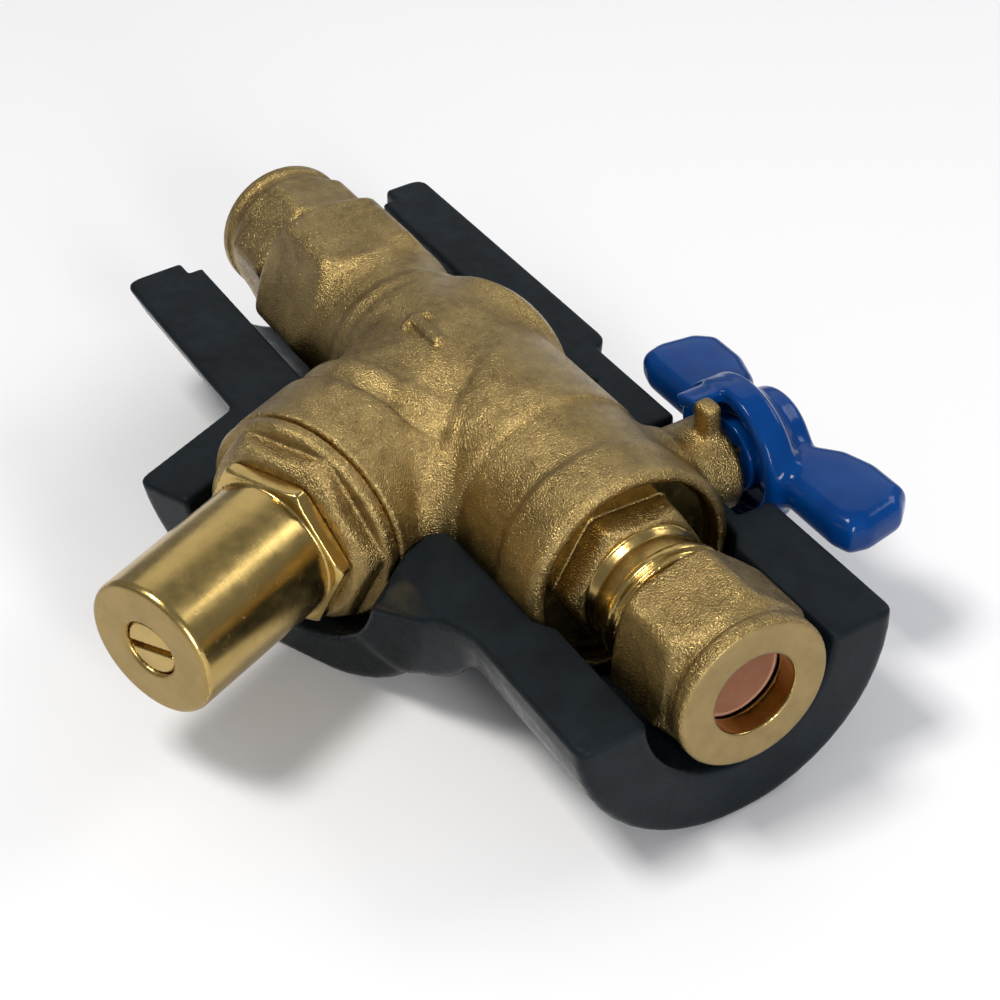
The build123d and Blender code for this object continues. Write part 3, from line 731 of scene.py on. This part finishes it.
def jacket_field(x, y, z):
    """Two arms along the run and one on the branch, cut flat on top and hollowed for the valve."""
    s, p = on_branch(x, y)
    near = blend_max(NEAR_ARM(y, z), np.maximum(x - NEAR_END_X, -x), 1.8)
    far = blend_max(OUTLET_ARM(y, z), np.maximum(x - FAR_START_X, FAR_END_X - x), 2.6)
    mouth = s - BRANCH_MOUTH_S + MOUTH_LEAN * (PARTING_Z - z)
    branch = blend_max(BRANCH_ARM(p, z), np.maximum(mouth, BRANCH_ARM_S - s), 1.8)
    crotch = blend_max(CROTCH(p, z), np.maximum(mouth, CROTCH_S - s), 1.8)
    shape = blend_min(near, far, 0.6)
    shape = blend_min(shape, blend_min(branch, crotch, 2.0), 1.5)
    beyond = y - BEVEL_EDGE_Y
    over = (z - PARTING_Z) * math.cos(BEVEL_LEAN) - beyond * math.sin(BEVEL_LEAN)
    cut = np.maximum(np.maximum(-over, np.abs(x - BEVEL_MIDDLE_X) - BEVEL_HALF), beyond)
    shape = blend_max(shape, -cut, 0.8)
    shape = blend_max(shape, z - PARTING_Z, 1.0)
    shape = blend_max(shape, FLAT_STRIP_Z - z, 0.6)
    r = np.hypot(y, z)
    q = np.hypot(p, z)
    notch = STEM_NOTCH(y, np.hypot(x - BALL_X, z))
    channel = blend_max(q - CHANNEL_R, CHANNEL_END_S - s, 0.5)
    for hollow in (JACKET_HOLLOW(x, r), channel, notch):
        shape = blend_max(shape, -hollow, 0.7)
    return shape


def on_outer_skin(x, y, z):
    return z < PARTING_Z - 0.9


surface("half_jacket", jacket_field, *reach("insulation_jacket_lower"), 0.62, "jacket",
        "jacket_black", JACKET_TOP, "insulation_jacket_lower",
        [(JACKET_OUT, on_outer_skin)])


# ================================================================ springs
def branch_span(node):
    """Lowest and highest place of a node along the branch, in millimetres from the crossing."""
    places = [v.co for v in frame["nodes"][node].data.vertices]
    along = [((place.x - CROSSING_X) * LEAN_SIN - place.y * LEAN_COS) / MM for place in places]
    return min(along), max(along)


STEPS_PER_TURN, WIRE_SIDES = 48, 14
WHOLE, INNER_HALF, OUTER_HALF = (0, 1), (0, 0.5), (0.5, 1)


def coil(name, axis, span, wire, turns, part, stands_for, joint, held):
    """Part of a helical spring, made as a fixed mesh; the joint and held arguments are not used.

    The span is the whole spring's ends along the axis, wire is the mean radius and the wire's own,
    and part says which shares of the length are made.
    """
    mean_r, wire_r = wire
    start, end = span
    height = end - start - 2 * wire_r
    across = axis.cross(Vector((0, 0, 1)))
    steps, sides = round(turns * STEPS_PER_TURN * (part[1] - part[0])), WIRE_SIDES
    lead = math.atan2(height, 2 * math.pi * mean_r * turns)
    verts = []
    for i in range(steps + 1):
        share = part[0] + (part[1] - part[0]) * i / steps
        turn = 2 * math.pi * turns * share
        out = math.cos(turn) * Vector((0, 0, 1)) + math.sin(turn) * across
        around = math.cos(turn) * across - math.sin(turn) * Vector((0, 0, 1))
        rise = axis * math.cos(lead) - around * math.sin(lead)
        middle = axis * (start + wire_r + height * share) + out * mean_r
        for k in range(sides):
            angle = -2 * math.pi * k / sides
            point = middle + wire_r * (math.cos(angle) * out + math.sin(angle) * rise)
            verts.append(point * MM + Vector((CROSSING_X, 0, 0)))
    faces = [(i * sides + k, i * sides + (k + 1) % sides, (i + 1) * sides + (k + 1) % sides,
              (i + 1) * sides + k) for i in range(steps) for k in range(sides)]
    faces += [tuple(reversed(range(sides))), tuple(range(steps * sides, (steps + 1) * sides))]
    mesh = bpy.data.meshes.new(name)
    mesh.from_pydata(verts, [], faces)
    mesh.polygons.foreach_set("use_smooth", np.ones(len(faces), bool))
    mesh.materials.append(STEEL)
    piece = bpy.data.objects.new(name, mesh)
    bpy.context.scene.collection.objects.link(piece)
    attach(piece, "valve")
    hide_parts(stands_for)
    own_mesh(piece)


BRANCH_AXIS = Vector((LEAN_SIN, -LEAN_COS, 0))
RANGE_SPRING = (BRANCH_AXIS, branch_span("range_spring"), (6.9, 1.0), 6.5)
coil("check_spring_coil", Vector((1, 0, 0)), run_span("check_spring"), (2.3, 0.25), 3.5, WHOLE,
     "check_spring", "check_lift", "low")
coil("range_spring_inner_half", *RANGE_SPRING, INNER_HALF, "range_spring", "piston_lift", "high")
coil("range_spring_outer_half", *RANGE_SPRING, OUTER_HALF, "range_spring", "adjust_advance", "low")

# ================================================================ carried-over CAD nodes
NODE_PAINT = {
    "connector_o_ring": RUBBER, "stem_o_ring_lower": RUBBER, "stem_o_ring_upper": RUBBER,
    "bonnet_o_ring": RUBBER, "piston_o_ring": RUBBER, "seat_disc": RUBBER, "check_seal": RUBBER,
    "inlet_olive": COPPER, "outlet_olive": COPPER, "ball": CHROME,
    "ball_seat_inlet": PTFE, "ball_seat_outlet": PTFE, "stem_thrust_washer": PTFE,
    "stem": TURNED_RUN, "handle_nut": STEEL, "check_housing": ACETAL, "check_poppet": ACETAL,
    "strainer_screen": STEEL, "valve_seat_ring": STEEL, "disc_screw": STEEL,
    "piston": TURNED_BRANCH, "spring_plate": TURNED_BRANCH,
}
for node, paint in NODE_PAINT.items():
    data = frame["nodes"][node].data
    data.materials.clear()
    data.materials.append(paint)


# ================================================================ stage, light and camera
def stage_plane(size, height):
    """Level square of pale paper under the part."""
    mesh = bpy.data.meshes.new("floor")
    half = size / 2
    mesh.from_pydata([(-half, -half, height), (half, -half, height), (half, half, height),
                      (-half, half, height)], [], [(0, 1, 2, 3)])
    floor = bpy.data.objects.new("floor", mesh)
    bpy.context.scene.collection.objects.link(floor)
    paint = Paint("floor_paper", (0.86, 0.86, 0.87), 0.0, 0.8)
    mesh.materials.append(paint.material)


def softbox(name, place, size, power, color=(1, 1, 1)):
    """Rectangular lamp at a place in metres, facing the crossing; power is in watts."""
    light = bpy.data.lights.new(name, "AREA")
    light.shape = "RECTANGLE"
    light.size, light.size_y = size
    light.energy = power
    light.color = color
    lamp = bpy.data.objects.new(name, light)
    lamp.location = place
    aim = Vector((CROSSING_X, 0, 0)) - Vector(place)
    lamp.rotation_euler = aim.to_track_quat("-Z", "Y").to_euler()
    bpy.context.scene.collection.objects.link(lamp)


stage_plane(6.0, FLOOR_Z)
world = bpy.data.worlds.new("studio")
world.use_nodes = True
background = world.node_tree.nodes["Background"].inputs
background["Color"].default_value = (0.90, 0.93, 1.0, 1)
background["Strength"].default_value = 0.28
bpy.context.scene.world = world
bpy.context.scene.view_settings.view_transform = "Standard"
softbox("key", (-0.10, -0.30, 0.75), (0.22, 0.22), 4.2, (1.0, 0.98, 0.94))
softbox("back", (0.05, 0.62, 0.50), (0.40, 0.25), 1.4)
softbox("sky", (-0.58, 0.42, 0.52), (0.95, 0.60), 1.2)
softbox("strip", (0.60, -0.08, 0.24), (0.12, 0.30), 2.4)

AZIMUTH, ELEVATION, ROLL = 63.91, 36.1, -5.45      # degrees
DISTANCE = 0.34823                                 # metres from the crossing
SENSOR_MM, LENS_MM = 36.0, 79.2
SHIFT_X, SHIFT_Y = 0.0472, -0.1063


def camera():
    """Camera at the photograph's viewing angle."""
    az, el, roll = (math.radians(a) for a in (AZIMUTH, ELEVATION, ROLL))
    back = Vector((math.sin(az) * math.cos(el), -math.cos(az) * math.cos(el), math.sin(el)))
    right = Vector((math.cos(az), math.sin(az), 0))
    up = right.cross(-back)
    right, up = (math.cos(roll) * right + math.sin(roll) * up,
                 -math.sin(roll) * right + math.cos(roll) * up)
    lens = bpy.data.cameras.new("camera")
    lens.sensor_width, lens.lens = SENSOR_MM, LENS_MM
    lens.shift_x, lens.shift_y = SHIFT_X, SHIFT_Y
    lens.clip_start = 0.01
    item = bpy.data.objects.new("camera", lens)
    item.matrix_world = Matrix.Translation(Vector((CROSSING_X, 0, 0)) + back * DISTANCE) @ Matrix(
        (right, up, back)).transposed().to_4x4()
    bpy.context.scene.collection.objects.link(item)
    bpy.context.scene.camera = item


camera()
